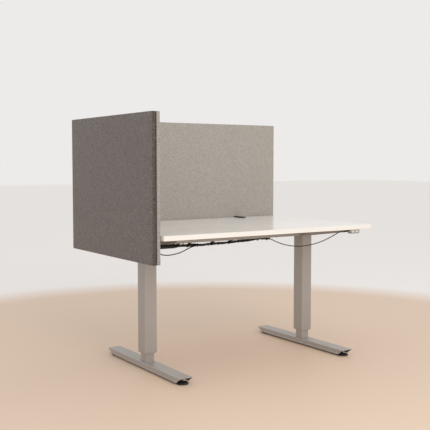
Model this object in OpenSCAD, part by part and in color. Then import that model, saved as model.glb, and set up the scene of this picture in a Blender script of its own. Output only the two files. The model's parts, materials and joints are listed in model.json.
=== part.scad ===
// Electric height-adjustable study carrel: a white desk on two telescopic legs
// with a felt screen on its left end and another along its back edge.
// Millimetres, +Z up. The origin is on the floor, under the middle of the whole outline.

/* [Tabletop] */
// Width of the tabletop, left to right
table_w = 1200; // [1100:10:1400]
// Depth of the tabletop, front to back
table_d = 800; // [760:10:900]
// Thickness of the board
table_t = 22; // [19:1:25]
// Height of the work surface above the floor
table_h = 665; // [655:1:680]
// Thickness of the edging strip
edging_t = 2; // [1:0.5:3]

/* [Screens] */
// Height of both screens
screen_h = 650; // [500:10:800]
// Thickness of both screens
screen_t = 38; // [34:1:44]
// How far the screens reach below the work surface
screen_drop = 125; // [100:5:150]
// Space between a screen and the edge of the tabletop
screen_gap = 6; // [5:0.5:8]
// Length of the screen on the left end
side_screen_l = 840; // [800:10:900]
// How far that screen starts behind the front edge
side_setback = 18; // [10:1:40]
// Width of the recessed seam between the dark and the light cover
seam_w = 4; // [3:0.5:5]
// Depth of that seam
seam_deep = 3; // [2:0.5:4]
// Thickness of the board inside the covers
core_t = 12; // [10:1:14]

/* [Feet] */
// Length of each foot
foot_l = 710; // [600:10:760]
// Width of each foot
foot_w = 68; // [66:1:80]
// Height of the foot's flat top above the floor
foot_top = 33; // [31:1:36]
// Height of the side walls' lower edge above the floor
foot_clear = 8; // [7:0.5:9]
// How far the side walls stop short of the top plate at each end
foot_undercut = 34; // [20:1:40]
// Diameter of a glide
glide_d = 57; // [50:1:60]
// Distance of a glide from the end of the foot
glide_inset = 35; // [32:1:60]

/* [Legs] */
// Half the distance between the two legs
leg_x = 474; // [440:1:480]
// Place of the legs behind the middle of the tabletop
leg_y = -16; // [-30:1:0]
// Outer tube, left to right
outer_w = 65; // [65:0.5:66]
// Outer tube, front to back
outer_d = 75; // [75:0.5:78]
// Height of the outer tube's lower end
outer_z = 81; // [76:1:100]
// Wall of the tubes
tube_t = 2; // [2:0.1:2.2]
// Corner radius of the outer tube
tube_r = 7; // [5:0.5:8]

/* [Underframe] */
// Depth of the crossbeam and of the arms at the legs
beam_h = 55; // [54:1:60]
// Width of the crossbeam, front to back
beam_d = 60; // [58:1:64]
// Sheet thickness of the crossbeam and arms
sheet_t = 3; // [3:0.25:3.5]
// Width of an arm
arm_w = 72; // [72:0.5:74]
// Reach of an arm from the leg to its tip
arm_reach = 334; // [280:2:340]
// Depth of an arm at its tip
arm_tip_h = 15; // [12:1:20]

/* [Lift] */
// How far the desk can go down from here
travel_down = 25; // [10:1:25]
// How far the desk can go up from here
travel_up = 625; // [400:5:625]

/* [Hidden] */

// The desk's own middle, seen from above, in the row frame
side_overhang = side_screen_l + side_setback - table_d;
desk_x = (screen_gap + screen_t) / 2;
desk_y = -side_overhang / 2;

// Levels
under_z = table_h - table_t;
beam_z = under_z - beam_h;
screen_z = table_h - screen_drop;
head_z = under_z - sheet_t;

// Telescope stages, from the outside in
fit_gap = 3;
middle_w = outer_w - 2 * tube_t - 2 * fit_gap;
middle_d = outer_d - 2 * tube_t - 2 * fit_gap;
inner_w = middle_w - 2 * tube_t - 2 * fit_gap - 1;
inner_d = middle_d - 2 * tube_t - 2 * fit_gap - 1;
middle_r = tube_r - 2;
inner_r = tube_r - 3;
gearbox_h = 50;
gearbox_z = head_z - gearbox_h;
middle_top = gearbox_z - travel_down / 2 - 5.5;
middle_z = outer_z;
nut_h = 14;
inner_top = middle_top - nut_h - travel_down / 2 - 2.5;
collar_h = 24;
pad_gap = 0.3;

// Drive
spindle_r = 8;
spindle_top = head_z - 32;
spindle_bottom = middle_top - nut_h - travel_up / 2 - 10;
motor_r = 21;
motor_l = 95;
motor_z = head_z - 25;
shaft_r = 4;
arm_wall_x = leg_x - arm_w / 2;
plate_x = arm_wall_x - sheet_t;
plate_y = 52;
plate_h = 53;
beam_bolt_y = 45;
beam_bolt_z = [head_z - 10, head_z - 40];
lip = 10;

// Screws
m6_r = 2.9;
m6_hole_r = 3;
m6_clear_r = 3.3;
foot_screw_x = 11;
foot_screw_y = 16;
head_bolt_x = 20;
head_bolt_y = 26;
wood_screw_y = [-310, -200, -90, 90, 200, 310];

// Glides
glide_y = foot_l / 2 - glide_inset;
glide_top = 8;
stem_r = 4;
weld_nut_h = 12;

// Screens and their clamps
side_x = -table_w / 2 - screen_gap;
side_y = -table_d / 2 + side_setback;
back_y = table_d / 2 + screen_gap;
back_x = side_x + 1;
back_screen_l = table_w / 2 - back_x;
cover_t = (screen_t - seam_w) / 2;
core_inset = 12;
clamp_w = 25;
clamp_l = 82;
clamp_t = 4;
clamp_pad_t = 2;
clamp_drop = 80;
clamp_under_z = under_z - 34;
clamp_under_l = 62;
clamp_screw_l = 45;
screen_screw_z = [table_h - clamp_drop + 10, under_z - 15];
side_clamp_y = [-180, 220];
back_clamp_x = [-327, 327];

// Control box in its cradle
cradle_x = [-420, -285];
cradle_y = [40, 240];
cradle_z = 556;
cradle_t = 1.5;
box_l = 180;
box_w = 126;
box_h = 40;
inlet_w = 28;
inlet_h = 20;
inlet_deep = 18;

// Cables: each route's points are in desk coordinates
bundle_d = 12;
bundle_route = [[-391, 46, 577], [-391, 26, 577], [-386, 2, 576], [-360, -14, 575],
    [-320, -16, 574], [-270, -16, 573], [-220, -16, 572], [-170, -16, 572], [-120, -16, 573],
    [-70, -16, 574], [-20, -16, 575], [30, -16, 577], [80, -16, 579], [130, -16, 581],
    [180, -16, 582], [234, -16, 582]];
clip_l = 8;
clip_tab_y = lip - beam_d / 2 - 6;
clip_x = [-316, -252, -118, -8, 102, 226];
lead_d = 5;
gland = [-425, 584];
left_lead_route = [[-425, -16, 584], [-425, -16, 574], [-420, -16, 558], [-407, -17, 543],
    [-388, -18, 535], [-362, -20, 532], [-335, -22, 534], [-306, -24, 539], [-280, -25, 547],
    [-256, -26, 557], [-230, -27, 566], [-204, -27, 571], [-178, -27, 573], [-148, -27, 575],
    [-118, -27, 576]];
right_lead_route = [[234, -13, 584], [244, -13, 586], [256, -14, 593], [270, -15, 603],
    [288, -16, 611], [312, -16, 615], [340, -16, 615]];
handset_cord_d = 4.5;
handset_route = [[234, -19, 581], [244, -21, 580], [256, -30, 575], [268, -46, 566],
    [281, -72, 557], [295, -101, 551], [310, -134, 548], [326, -169, 549], [343, -206, 555],
    [361, -245, 566], [379, -284, 582], [396, -320, 602], [409, -348, 620], [416, -364, 630],
    [424, -376, 635], [434, -380, 636]];
earth_d = 4;
earth_screw = [-232, 604];
earth_route = [[-238, -49, 604], [-246, -49, 603], [-257, -49, 598], [-268, -49, 595],
    [-279, -49, 594], [-290, -50, 591], [-297, -50, 586], [-303, -42, 582], [-305, -25, 576]];

// Handset under the front edge
handset_x = [462, 522];
handset_z = under_z - 20;
handset_front = -table_d / 2 + 2;
handset_d = 28;
button_w = 17;
button_h = 10;
button_x = [478, 504];
button_l = 6;
button_play = 0.4;
button_z = handset_z + 10.5;
button_proud = 1.6;

module desk() translate([desk_x, desk_y, 0]) children();

module rounded(w, d, r) {
    square([w - 2 * r, d], center = true);
    square([w, d - 2 * r], center = true);
    for (sx = [-1, 1], sy = [-1, 1])
        translate([sx * (w / 2 - r), sy * (d / 2 - r)]) circle(r, $fn = 48);
}

module tube(w, d, r, t, z0, z1) {
    translate([0, 0, z0]) linear_extrude(z1 - z0) difference() {
        rounded(w, d, r);
        rounded(w - 2 * t, d - 2 * t, max(r - t, 0.5));
    }
}

module drill(r, from, to) {
    translate([0, 0, from]) cylinder(r = r, h = to - from, $fn = 48);
}

module leg(side) desk() translate([side * leg_x, leg_y, 0]) children();

// ---- Cords: a smooth line through the route, swept with a polygon of a few sides
function unit(v) = v / norm(v);
function spline(a, b, c, d, t) = 0.5 * (2 * b + (c - a) * t
    + (2 * a - 5 * b + 4 * c - d) * t * t + (3 * b - a - 3 * c + d) * t * t * t);
function smooth(p, n) = [for (i = [0:len(p) - 2], k = [0:n - 1])
    spline(p[max(i - 1, 0)], p[i], p[i + 1], p[min(i + 2, len(p) - 1)], k / n), p[len(p) - 1]];
function along(p, i) = unit(p[min(i + 1, len(p) - 1)] - p[max(i - 1, 0)]);

module cord(route, d, across, sides = 8, n = 1) {
    p = smooth(route, n);
    last = len(p) - 1;
    rings = [for (i = [0:last]) let (t = along(p, i), u = unit(cross(across, t)), v = cross(t, u))
        for (k = [0:sides - 1]) p[i] + d / 2 * (cos(360 * k / sides) * u + sin(360 * k / sides) * v)];
    walls = [for (i = [0:last - 1], k = [0:sides - 1]) let (a = i * sides, j = (k + 1) % sides)
        [a + k, a + sides + k, a + sides + j, a + j]];
    start = [for (k = [0:sides - 1]) k];
    end = [for (k = [sides - 1:-1:0]) last * sides + k];
    desk() polyhedron(rings, concat([start], walls, [end]));
}

// ---- Base: feet, lowest tubes and glides
module foot(side) {
    w = foot_w / 2;
    tip = foot_l / 2;
    color("silver") leg(side) {
        difference() {
            rotate([90, 0, 0]) linear_extrude(foot_l, center = true) polygon([
                [-w, foot_clear], [-w + 2, foot_top - 11], [-w, foot_top - 10], [-w, foot_top - 2],
                [-w + 2, foot_top], [w - 2, foot_top], [w, foot_top - 2], [w, foot_top - 10],
                [w - 2, foot_top - 11], [w, foot_clear], [w - 3, foot_clear],
                [w - 5, foot_top - 11], [w - 5, foot_top - 3], [5 - w, foot_top - 3],
                [5 - w, foot_top - 11], [3 - w, foot_clear]]);
            for (end = [-1, 1])
                rotate([90, 0, 90]) linear_extrude(foot_w + 2, center = true) polygon([
                    [end * (tip + 1), foot_top - 1.5], [end * (tip - 1), foot_top - 1.5],
                    [end * (tip - foot_undercut), foot_clear - 1], [end * (tip + 1), foot_clear - 1]]);
            for (sx = [-1, 1], sy = [-1, 1])
                translate([sx * foot_screw_x, sy * foot_screw_y, 0])
                    drill(m6_clear_r, foot_top - 4, foot_top + 1);
        }
        for (end = [-1, 1]) translate([0, end * glide_y, foot_top - 3 - weld_nut_h])
            difference() {
                cylinder(r = 8, h = weld_nut_h, $fn = 6);
                drill(stem_r + 0.08, -1, weld_nut_h + 1);
            }
    }
}

module inner_tube(side) {
    color("silver") leg(side) {
        tube(inner_w, inner_d, inner_r, tube_t, foot_top, inner_top);
        difference() {
            translate([0, 0, foot_top]) linear_extrude(6)
                rounded(inner_w - 2 * tube_t, inner_d - 2 * tube_t, inner_r - tube_t);
            for (sx = [-1, 1], sy = [-1, 1])
                translate([sx * foot_screw_x, sy * foot_screw_y, 0])
                    drill(m6_hole_r, foot_top - 1, foot_top + 7);
        }
    }
}

module foot_screws() {
    color("dimgray") for (side = [-1, 1]) leg(side)
        for (sx = [-1, 1], sy = [-1, 1]) translate([sx * foot_screw_x, sy * foot_screw_y, 0]) {
            drill(m6_r, foot_top - 5, foot_top + 9);
            drill(5, foot_top - 7.5, foot_top - 3);
        }
}

module glide(side, end) {
    color("black") leg(side) translate([0, end * glide_y, 0]) {
        rotate_extrude($fn = 96) polygon([[0, 0], [glide_d / 2 - 1.5, 0], [glide_d / 2, 1.5],
            [glide_d / 2, glide_top - 3], [glide_d / 2 - 4, glide_top], [0, glide_top]]);
        translate([0, 0, glide_top]) cylinder(r = 7, h = 5, $fn = 6);
        drill(stem_r, glide_top, foot_top - 3.5);
    }
}

// ---- Middle stage of each leg
module middle_tube(side) {
    color("silver") leg(side) tube(middle_w, middle_d, middle_r, tube_t, middle_z, middle_top);
}

module middle_collar(side) {
    color("dimgray") leg(side) tube(middle_w - 2 * tube_t - 0.02, middle_d - 2 * tube_t - 0.02,
        middle_r - tube_t, (middle_w - 2 * tube_t - inner_w) / 2 - pad_gap,
        middle_z, middle_z + collar_h);
}

module spindle_nut(side) {
    color("ivory") leg(side) difference() {
        translate([0, 0, middle_top - nut_h]) linear_extrude(nut_h)
            rounded(middle_w - 2 * tube_t - 0.1, middle_d - 2 * tube_t - 0.1, middle_r - tube_t);
        drill(spindle_r + 0.08, middle_top - nut_h - 1, middle_top + 1);
    }
}

module spindle(side) {
    color("gray") leg(side) drill(spindle_r, spindle_bottom, spindle_top);
}

// ---- Top stage of each leg, with its drive
module outer_tube(side) {
    color("silver") leg(side) difference() {
        tube(outer_w, outer_d, tube_r, tube_t, outer_z, head_z);
        translate([0, 0, motor_z]) rotate([0, -90 * side, 0]) drill(6, 0, outer_w);
    }
}

module outer_collar(side) {
    inner = fit_gap - pad_gap;
    color("gray") leg(side) {
        tube(outer_w - 2 * tube_t - 0.02, outer_d - 2 * tube_t - 0.02, tube_r - tube_t, inner,
            outer_z, outer_z + collar_h);
        tube(outer_w - 1, outer_d - 1, tube_r - 0.5, inner + tube_t - 0.5, outer_z - 2, outer_z);
        tube(outer_w - 3, outer_d - 3, tube_r - 1.5, inner + tube_t - 1.5, outer_z - 4, outer_z - 2);
    }
}

module gearbox(side) {
    color("dimgray") leg(side) difference() {
        translate([0, 0, gearbox_z]) linear_extrude(gearbox_h)
            rounded(outer_w - 2 * tube_t - 0.4, outer_d - 2 * tube_t - 0.4, tube_r - tube_t);
        drill(spindle_r + 0.08, gearbox_z - 1, spindle_top + 1);
        translate([0, 0, motor_z]) rotate([0, -90 * side, 0]) drill(shaft_r + 0.08, 3, outer_w);
        for (sx = [-1, 1], sy = [-1, 1]) translate([sx * head_bolt_x, sy * head_bolt_y, 0])
            drill(m6_hole_r, head_z - 18, head_z + 1);
    }
}

module motor(side) {
    color("black") leg(side) translate([0, 0, motor_z]) rotate([0, -90 * side, 0]) {
        start = leg_x - plate_x;
        drill(shaft_r, 4, start);
        drill(motor_r, start, start + motor_l - 10);
        drill(motor_r - 3, start + motor_l - 10, start + motor_l);
    }
    if (side < 0) color("black") desk() translate([gland[0], leg_y, 0]) difference() {
        drill(5, gland[1], motor_z - motor_r + 2);
        translate([-10, 0, motor_z]) rotate([0, 90, 0]) drill(motor_r - 0.01, 0, 20);
    }
}

// ---- Underframe
module arm(side) {
    inside = arm_reach - sheet_t;
    flat = outer_d / 2 + 0.5;
    color("silver") leg(side) difference() {
        rotate([90, 0, 90]) linear_extrude(arm_w, center = true) polygon([
            [-arm_reach, under_z], [-arm_reach, under_z - arm_tip_h], [-flat, beam_z],
            [flat, beam_z], [arm_reach, under_z - arm_tip_h], [arm_reach, under_z]]);
        rotate([90, 0, 90]) linear_extrude(arm_w - 2 * sheet_t, center = true) polygon([
            [-inside, head_z], [-inside, beam_z - 1], [inside, beam_z - 1], [inside, head_z]]);
        for (y = wood_screw_y) translate([0, y, 0]) drill(m6_clear_r, head_z - 1, under_z + 1);
        for (sx = [-1, 1], sy = [-1, 1]) translate([sx * head_bolt_x, sy * head_bolt_y, 0])
            drill(5.6, head_z - 1, under_z + 1);
        translate([0, 0, motor_z]) rotate([0, -90 * side, 0]) drill(6, 0, arm_w);
        for (y = [-beam_bolt_y, beam_bolt_y], z = beam_bolt_z)
            translate([0, y, z]) rotate([0, -90 * side, 0]) drill(m6_clear_r, 0, arm_w);
    }
}

module crossbeam() {
    half = beam_d / 2;
    color("silver") desk() translate([0, leg_y, 0]) {
        rotate([90, 0, 90]) linear_extrude(2 * plate_x, center = true) polygon([
            [-half, beam_z], [-half, under_z], [half, under_z], [half, beam_z], [half - lip, beam_z],
            [half - lip, beam_z + sheet_t], [half - sheet_t, beam_z + sheet_t],
            [half - sheet_t, head_z], [sheet_t - half, head_z], [sheet_t - half, beam_z + sheet_t],
            [lip - half, beam_z + sheet_t], [lip - half, beam_z]]);
        for (side = [-1, 1]) difference() {
            translate([side * (plate_x + sheet_t / 2), 0, under_z - plate_h / 2])
                cube([sheet_t, 2 * plate_y, plate_h], center = true);
            translate([side * plate_x, 0, motor_z]) rotate([0, 90, 0]) drill(8, -10, 10);
            for (y = [-beam_bolt_y, beam_bolt_y], z = beam_bolt_z)
                translate([side * plate_x, y, z]) rotate([0, 90, 0]) drill(m6_clear_r, -10, 10);
        }
    }
}

module frame_bolts() {
    color("dimgray") desk() translate([earth_screw[0], leg_y - beam_d / 2, earth_screw[1]])
        rotate([90, 0, 0]) drill(5, 0, 4);
    color("dimgray") for (side = [-1, 1]) leg(side) {
        for (sx = [-1, 1], sy = [-1, 1]) translate([sx * head_bolt_x, sy * head_bolt_y, 0]) {
            drill(5.5, head_z, under_z);
            drill(m6_r, head_z - 16, head_z + 1);
        }
        for (y = [-beam_bolt_y, beam_bolt_y], z = beam_bolt_z)
            translate([0, y, z]) rotate([0, -90 * side, 0]) {
                drill(m6_r, arm_w / 2 - sheet_t - 6, arm_w / 2 + sheet_t + 1);
                drill(5, arm_w / 2 + sheet_t, arm_w / 2 + sheet_t + 4);
                translate([0, 0, arm_w / 2 - sheet_t - 5]) cylinder(r = 5.4, h = 5, $fn = 6);
            }
    }
}

module table_screws() {
    color("gray") for (side = [-1, 1], y = wood_screw_y) leg(side) translate([0, y, 0]) {
        drill(5, head_z - 3, head_z);
        drill(2.4, head_z - 1, under_z + 15);
    }
}

// ---- Tabletop
module tabletop() {
    color("white") difference() {
        desk() translate([0, 0, under_z + table_t / 2])
            cube([table_w - 2 * edging_t, table_d - 2 * edging_t, table_t], center = true);
        for (side = [-1, 1], y = wood_screw_y) leg(side) translate([0, y, 0])
            drill(2.5, under_z - 1, under_z + 16);
    }
}

module edging() {
    color("white") desk() translate([0, 0, under_z + table_t / 2]) {
        for (side = [-1, 1]) translate([side * (table_w - edging_t) / 2, 0, 0])
            cube([edging_t, table_d - 2 * edging_t, table_t], center = true);
        for (end = [-1, 1]) translate([0, end * (table_d - edging_t) / 2, 0])
            cube([table_w, edging_t, table_t], center = true);
    }
}

// ---- Screens, drawn lying along +X with the light face towards -Y, then put in place
module place_side() desk() translate([side_x, side_y, screen_z]) rotate([0, 0, 90]) children();
module place_back() desk() translate([back_x, back_y, screen_z]) children();

module light_cover(l) {
    difference() {
        cube([l, screen_t / 2, screen_h]);
        seam_cut(l, cover_t, screen_t / 2);
        core_cut(l);
    }
}

module dark_cover(l) {
    difference() {
        translate([0, screen_t / 2, 0]) cube([l, screen_t / 2, screen_h]);
        seam_cut(l, screen_t / 2, screen_t - cover_t);
        core_cut(l);
    }
}

module seam_cut(l, y0, y1) {
    difference() {
        translate([-1, y0 - 0.01, -1]) cube([l + 2, y1 - y0 + 0.02, screen_h + 2]);
        translate([seam_deep, y0 - 1, seam_deep])
            cube([l - 2 * seam_deep, y1 - y0 + 2, screen_h - 2 * seam_deep]);
    }
}

module core_cut(l) {
    translate([core_inset, (screen_t - core_t) / 2, core_inset])
        cube([l - 2 * core_inset, core_t, screen_h - 2 * core_inset]);
}

module core(l) {
    gap = 0.1;
    translate([core_inset + gap, (screen_t - core_t) / 2 + gap, core_inset + gap])
        cube([l - 2 * core_inset - 2 * gap, core_t - 2 * gap, screen_h - 2 * core_inset - 2 * gap]);
}

module seam(l) {
    tape = seam_deep - 1.5;
    difference() {
        translate([1.5, cover_t + 0.05, 1.5]) cube([l - 3, seam_w - 0.1, screen_h - 3]);
        translate([seam_deep, cover_t - 1, seam_deep])
            cube([l - 2 * seam_deep, seam_w + 2, screen_h - 2 * seam_deep]);
    }
}

// ---- Clamps, drawn at the screen's light face with the tabletop towards -Y
module at_side_clamp(y) desk() translate([side_x, y, 0]) rotate([0, 0, 90]) children();
module at_back_clamp(x) desk() translate([x, back_y, 0]) children();

module clamp() {
    top = table_h + clamp_pad_t;
    rotate([90, 0, 90]) difference() {
        linear_extrude(clamp_w, center = true) polygon([
            [0, table_h - clamp_drop], [0, top + clamp_t], [-clamp_l, top + clamp_t],
            [-clamp_l, table_h + 0.05], [4 - clamp_l, table_h + 0.05], [4 - clamp_l, top],
            [-clamp_t, top], [-clamp_t, clamp_under_z + clamp_t],
            [-clamp_under_l, clamp_under_z + clamp_t], [-clamp_under_l, clamp_under_z],
            [-clamp_t, clamp_under_z], [-clamp_t, table_h - clamp_drop]]);
        translate([-clamp_under_l + 14, 0, 0]) rotate([-90, 0, 0])
            drill(4.08, clamp_under_z - 1, clamp_under_z + clamp_t + 1);
        for (z = screen_screw_z) translate([0, z, 0]) rotate([0, -90, 0]) drill(2, -1, clamp_t + 1);
    }
}

module clamp_screw() {
    translate([0, 14 - clamp_under_l, 0]) {
        drill(4, under_z - clamp_screw_l - 4, under_z - 4);
        rotate_extrude($fn = 64) polygon([[0, under_z - 5], [8, under_z - 5], [11, under_z - 2],
            [11, under_z], [0, under_z]]);
        translate([0, 0, under_z - clamp_screw_l - 14]) {
            cylinder(r = 10, h = 13, $fn = 64);
            for (a = [0:60:300]) rotate(a) translate([9.5, 0, 0]) cylinder(r = 3, h = 13, $fn = 24);
        }
    }
}

module side_clamps() color("black") for (y = side_clamp_y) at_side_clamp(y) clamp();
module back_clamps() color("black") for (x = back_clamp_x) at_back_clamp(x) clamp();

module clamp_pad() {
    translate([0, -clamp_l / 2, table_h + clamp_pad_t / 2])
        cube([clamp_w - 2, clamp_l - 2 * clamp_t - 4, clamp_pad_t], center = true);
}

module clamp_pads() color("darkslategray") {
    for (y = side_clamp_y) at_side_clamp(y) clamp_pad();
    for (x = back_clamp_x) at_back_clamp(x) clamp_pad();
}

module screen_screw_pair() {
    for (z = screen_screw_z) translate([0, 0, z])
        rotate([-90, 0, 0]) {
            drill(4, -clamp_t - 2, -clamp_t);
            drill(1.9, -clamp_t - 1, screen_t / 2 + core_t / 2 - 2);
        }
}

module screen_screws() color("dimgray") {
    for (y = side_clamp_y) at_side_clamp(y) screen_screw_pair();
    for (x = back_clamp_x) at_back_clamp(x) screen_screw_pair();
}

// ---- Control box and cables
module control_box_cradle() {
    w = cradle_x[1] - cradle_x[0];
    l = cradle_y[1] - cradle_y[0];
    color("gray") desk() translate([cradle_x[0], cradle_y[0], 0]) difference() {
        union() {
            translate([0, 0, cradle_z]) cube([w, l, under_z - cradle_z]);
            translate([-15, 0, under_z - cradle_t]) cube([w + 30, l, cradle_t]);
        }
        translate([cradle_t, -1, cradle_z + cradle_t])
            cube([w - 2 * cradle_t, l + 2, under_z - cradle_z]);
    }
}

module control_box() {
    x0 = (cradle_x[0] + cradle_x[1] - box_w) / 2;
    y0 = cradle_y[0] + 6;
    z0 = cradle_z + cradle_t;
    color("dimgray") desk() translate([x0, y0, z0]) difference() {
        cube([box_w, box_l, box_h]);
        translate([box_w / 2 - inlet_w / 2, box_l - inlet_deep, box_h / 2 - inlet_h / 2])
            cube([inlet_w, inlet_deep + 1, inlet_h]);
        for (x = [20, 34, 48]) translate([x, -1, 15]) cube([9, 9, 9]);
    }
}

module cable_bundle() color("black") cord(bundle_route, bundle_d, [0, 0, 1]);

module cable_clips() {
    color("black") desk() for (x = clip_x) {
        z = clip_level(x);
        translate([x, leg_y, z]) rotate([0, 90, 0]) difference() {
            union() {
                cylinder(r = bundle_d / 2 + 2, h = clip_l, $fn = 48);
                translate([z - beam_z, clip_tab_y, 0])
                    cube([beam_z - z + 4, 1 - bundle_d / 2 - clip_tab_y, clip_l]);
            }
            translate([0, 0, -1]) cylinder(r = bundle_d / 2 + 0.2, h = clip_l + 2, $fn = 48);
        }
    }
}

// Height of the bundle's centre line at x, between the route's points
function clip_level(x) = lookup(x, [for (p = bundle_route) if (p[1] < -14) [p[0], p[2]]]);

module right_motor_lead() color("black") cord(right_lead_route, lead_d, [0, 1, 0]);
module left_motor_lead() color("black") cord(left_lead_route, lead_d, [0, 1, 0]);
module earth_lead() color("yellowgreen") cord(earth_route, earth_d, [0, 0.6, 0.8]);
module handset_cable() color("black") cord(handset_route, handset_cord_d, [0, 0, 1], 8, 2);

// ---- Handset
module cable_relief() {
    p = handset_route[len(handset_route) - 1];
    color("black") desk() translate(p) rotate([0, 90, 0]) rotate_extrude($fn = 48)
        polygon([[0, 0], [handset_cord_d / 2 + 0.6, 0], [4.2, 22], [4.2, 28], [0, 28]]);
}

module handset() {
    x0 = handset_x[0];
    x1 = handset_x[1];
    color("gainsboro") desk() difference() {
        translate([0, handset_front + handset_d, 0]) rotate([90, 0, 0]) linear_extrude(handset_d)
            polygon(concat([[x0, under_z], [x0, handset_z + 11], [x0 + 11, handset_z]],
                [for (a = [-90:15:0]) [x1 - 6 + 6 * cos(a), handset_z + 6 + 6 * sin(a)]],
                [[x1, under_z]]));
        for (x = button_x) translate([x - button_w / 2 - button_play, handset_front - 1,
            button_z - button_h / 2 - button_play])
            cube([button_w + 2 * button_play, button_l + 2, button_h + 2 * button_play]);
    }
}

module button(x) {
    color("white") desk() translate([x - button_w / 2, handset_front - button_proud,
        button_z - button_h / 2]) cube([button_w, button_l, button_h]);
}

foot(-1);  // left_foot
foot(1);  // right_foot
inner_tube(-1);  // left_inner_tube
inner_tube(1);  // right_inner_tube
foot_screws();
glide(-1, -1);  // front_left_glide
glide(1, -1);  // front_right_glide
glide(-1, 1);  // back_left_glide
glide(1, 1);  // back_right_glide
middle_tube(-1);  // left_middle_tube
middle_tube(1);  // right_middle_tube
middle_collar(-1);  // left_middle_collar
middle_collar(1);  // right_middle_collar
spindle_nut(-1);  // left_spindle_nut
spindle_nut(1);  // right_spindle_nut
spindle(-1);  // left_spindle
spindle(1);  // right_spindle
outer_tube(-1);  // left_outer_tube
outer_tube(1);  // right_outer_tube
outer_collar(-1);  // left_outer_collar
outer_collar(1);  // right_outer_collar
gearbox(-1);  // left_gearbox
gearbox(1);  // right_gearbox
motor(-1);  // left_motor
motor(1);  // right_motor
arm(-1);  // left_arm
arm(1);  // right_arm
crossbeam();
frame_bolts();
table_screws();
tabletop();
edging();
color("tan") place_side() core(side_screen_l);  // side_screen_core
color("dimgray") place_side() dark_cover(side_screen_l);  // side_screen_dark_cover
color("darkgray") place_side() light_cover(side_screen_l);  // side_screen_light_cover
color("black") place_side() seam(side_screen_l);  // side_screen_seam
color("tan") place_back() core(back_screen_l);  // back_screen_core
color("dimgray") place_back() dark_cover(back_screen_l);  // back_screen_dark_cover
color("darkgray") place_back() light_cover(back_screen_l);  // back_screen_light_cover
color("black") place_back() seam(back_screen_l);  // back_screen_seam
side_clamps();
back_clamps();
clamp_pads();
screen_screws();
color("black") at_side_clamp(side_clamp_y[0]) clamp_screw();  // side_front_clamp_screw
color("black") at_side_clamp(side_clamp_y[1]) clamp_screw();  // side_back_clamp_screw
color("black") at_back_clamp(back_clamp_x[0]) clamp_screw();  // back_left_clamp_screw
color("black") at_back_clamp(back_clamp_x[1]) clamp_screw();  // back_right_clamp_screw
control_box_cradle();
control_box();
cable_bundle();
cable_clips();
right_motor_lead();
left_motor_lead();
earth_lead();
handset_cable();
cable_relief();
handset();
button(button_x[0]);  // up_button
button(button_x[1]);  // down_button
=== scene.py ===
import json
import math

import bmesh
import bpy
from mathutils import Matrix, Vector, noise


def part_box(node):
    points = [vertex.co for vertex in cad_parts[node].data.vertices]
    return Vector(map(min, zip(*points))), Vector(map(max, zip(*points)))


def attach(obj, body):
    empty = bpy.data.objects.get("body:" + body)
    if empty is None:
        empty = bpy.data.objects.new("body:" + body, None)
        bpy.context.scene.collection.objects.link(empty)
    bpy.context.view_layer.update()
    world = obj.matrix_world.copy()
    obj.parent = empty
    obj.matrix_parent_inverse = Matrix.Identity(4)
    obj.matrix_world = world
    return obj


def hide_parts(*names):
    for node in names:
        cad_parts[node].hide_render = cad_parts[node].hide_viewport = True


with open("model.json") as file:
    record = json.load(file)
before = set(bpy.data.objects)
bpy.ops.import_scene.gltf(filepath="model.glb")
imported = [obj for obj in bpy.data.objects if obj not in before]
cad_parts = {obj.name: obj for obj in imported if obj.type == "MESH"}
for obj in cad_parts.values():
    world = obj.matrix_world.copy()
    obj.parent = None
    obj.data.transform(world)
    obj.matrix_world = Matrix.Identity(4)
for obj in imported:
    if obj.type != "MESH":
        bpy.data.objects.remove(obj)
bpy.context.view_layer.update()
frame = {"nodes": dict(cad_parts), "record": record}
print("frame loaded,", len(frame["nodes"]), "parts")


# where things are

def middleOf(part):
    low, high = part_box(part)
    return (low + high) / 2


deskMiddle = middleOf("tabletop")
deskMiddle.z = 0


def onDesk(point):
    return deskMiddle + Vector(point)


# the camera, at a standing reader's distance off the left front corner

viewpoint = {
    "place": (-2.2029, -3.2912, 0.9726),
    "heading": 33.328,  # degrees to the right of straight at the back screen
    "tilt": -3.788,
    "lens": 65.63,
}


def addCamera():
    heading = math.radians(viewpoint["heading"])
    tilt = math.radians(viewpoint["tilt"])
    aim = Vector((math.sin(heading) * math.cos(tilt), math.cos(heading) * math.cos(tilt), math.sin(tilt)))
    lens = bpy.data.cameras.new("cornerView")
    lens.lens = viewpoint["lens"]
    lens.sensor_width = 36
    camera = bpy.data.objects.new("cornerView", lens)
    camera.location = viewpoint["place"]
    camera.rotation_euler = aim.to_track_quat("-Z", "Y").to_euler()
    bpy.context.scene.collection.objects.link(camera)
    bpy.context.scene.camera = camera


addCamera()
print("camera placed")


# small tools for making meshes

def addPiece(name, mesh):
    piece = bpy.data.objects.new(name, mesh)
    bpy.context.scene.collection.objects.link(piece)
    return piece


def meshFrom(name, shape, smooth=True):
    mesh = bpy.data.meshes.new(name)
    shape.to_mesh(mesh)
    shape.free()
    if smooth:
        mesh.shade_smooth()
    return mesh


def unit(v):
    return v.normalized()


def smoothRoute(route, steps):
    # the same smooth line through the points as the part's own tubes follow
    points = [Vector(p) for p in route]
    line = []
    for i in range(len(points) - 1):
        a, b = points[max(i - 1, 0)], points[i]
        c, d = points[i + 1], points[min(i + 2, len(points) - 1)]
        for k in range(steps):
            t = k / steps
            line.append(0.5 * (2 * b + (c - a) * t + (2 * a - 5 * b + 4 * c - d) * t * t
                               + (3 * b - a - 3 * c + d) * t ** 3))
    line.append(points[-1])
    return line


def lineLength(line):
    return sum((b - a).length for a, b in zip(line, line[1:]))


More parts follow.
